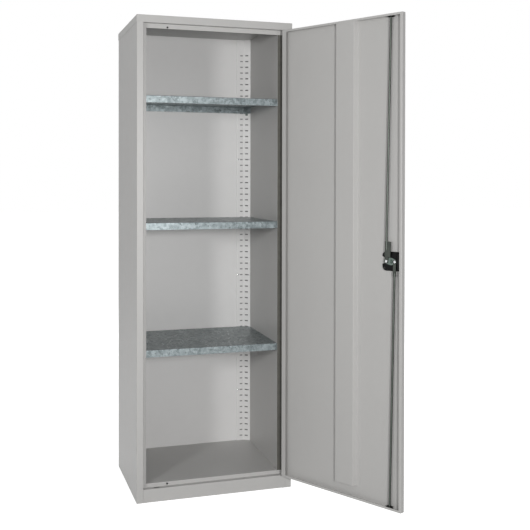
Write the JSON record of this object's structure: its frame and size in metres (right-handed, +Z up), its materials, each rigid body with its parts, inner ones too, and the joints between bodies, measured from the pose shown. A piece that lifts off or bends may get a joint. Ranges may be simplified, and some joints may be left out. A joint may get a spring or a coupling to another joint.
{
  "type": "steel storage locker",
  "caption": "Tall single-door folded-steel storage locker with galvanised adjustable shelves and a turn handle driving two locking rods",
  "frame": {"origin": "centre of the carcass footprint, on the floor", "axes": "+Z up; +Y into the locker, so the front faces -Y; +X to the right seen from the front"},
  "size_m": [0.857, 0.9601, 1.83],
  "materials": {
    "painted_steel": "light grey satin powder coat with a fine orange-peel texture",
    "painted_inner": "paler grey powder coat on the back and the uprights",
    "galvanised_steel": "hot-dip galvanised sheet with visible spangle",
    "zinc_plate": "zinc plating",
    "black_steel": "blackened screw steel",
    "black_plastic": "black moulded nylon, fine grain",
    "black_rubber": "black rubber",
    "chrome": "polished plated lock face"
  },
  "bodies": {
    "carcass": {"top_cap": "painted_steel", "left_side_panel": "painted_steel", "right_side_panel": "painted_steel", "back_panel": "painted_inner", "base_pan": "painted_steel", "header_rail": "painted_steel", "rod_keeper": "painted_steel", "left_rear_upright": "painted_inner", "right_rear_upright": "painted_inner", "left_front_upright": "painted_inner", "right_front_upright": "painted_inner", "upper_shelf": "galvanised_steel", "middle_shelf": "galvanised_steel", "lower_shelf": "galvanised_steel", "upper_shelf_clips": "zinc_plate", "middle_shelf_clips": "zinc_plate", "lower_shelf_clips": "zinc_plate", "upright_rivets": "zinc_plate", "door_buffers": "black_rubber", "hinge_frame_leaves": "zinc_plate", "hinge_pins": "zinc_plate"},
    "door": {"hinge_door_leaves": "zinc_plate", "door_skin": "painted_steel", "door_stiffener": "painted_steel", "top_rod_guide": "black_plastic", "bottom_rod_guide": "black_plastic", "lock_housing": "black_plastic", "housing_screws": "black_steel", "handle_rose": "black_plastic"},
    "handle": {"handle_grip": "black_plastic", "handle_spindle": "zinc_plate", "lock_cam": "zinc_plate", "cam_nut": "zinc_plate", "cam_pins": "zinc_plate"},
    "upper_rod": {"upper_rod": "zinc_plate"},
    "lower_rod": {"lower_rod": "zinc_plate"},
    "barrel": {"lock_barrel": "chrome"}
  },
  "joints": [
    {"name": "door_hinge", "type": "hinge", "parent": "carcass", "child": "door", "pos_m": [0.2797, -0.2315, 0.925], "axis": [0, 0, 1], "range_deg": [-119, 51]},
    {"name": "handle_turn", "type": "hinge", "parent": "door", "child": "handle", "pos_m": [0.51029, -0.68473, 0.927], "axis": [0.8746, 0.4848, 0], "range_deg": [0, 90]},
    {"name": "upper_rod_pivot", "type": "hinge", "parent": "handle", "child": "upper_rod", "pos_m": [0.50157, -0.66899, 0.927], "axis": [0.8746, 0.4848, 0], "range_deg": [-92.5, 0.5]},
    {"name": "lower_rod_pivot", "type": "hinge", "parent": "handle", "child": "lower_rod", "pos_m": [0.51902, -0.70048, 0.927], "axis": [0.8746, 0.4848, 0], "range_deg": [-92.5, 0.5]},
    {"name": "barrel_turn", "type": "hinge", "parent": "handle", "child": "barrel", "pos_m": [0.53596, -0.6705, 0.927], "axis": [0.8746, 0.4848, 0], "range_deg": [-90, 0]}
  ],
  "couplings": [
    {"joint": "upper_rod_pivot", "follows": "handle_turn", "ratio": -1.0133},
    {"joint": "lower_rod_pivot", "follows": "handle_turn", "ratio": -1.0132}
  ]
}
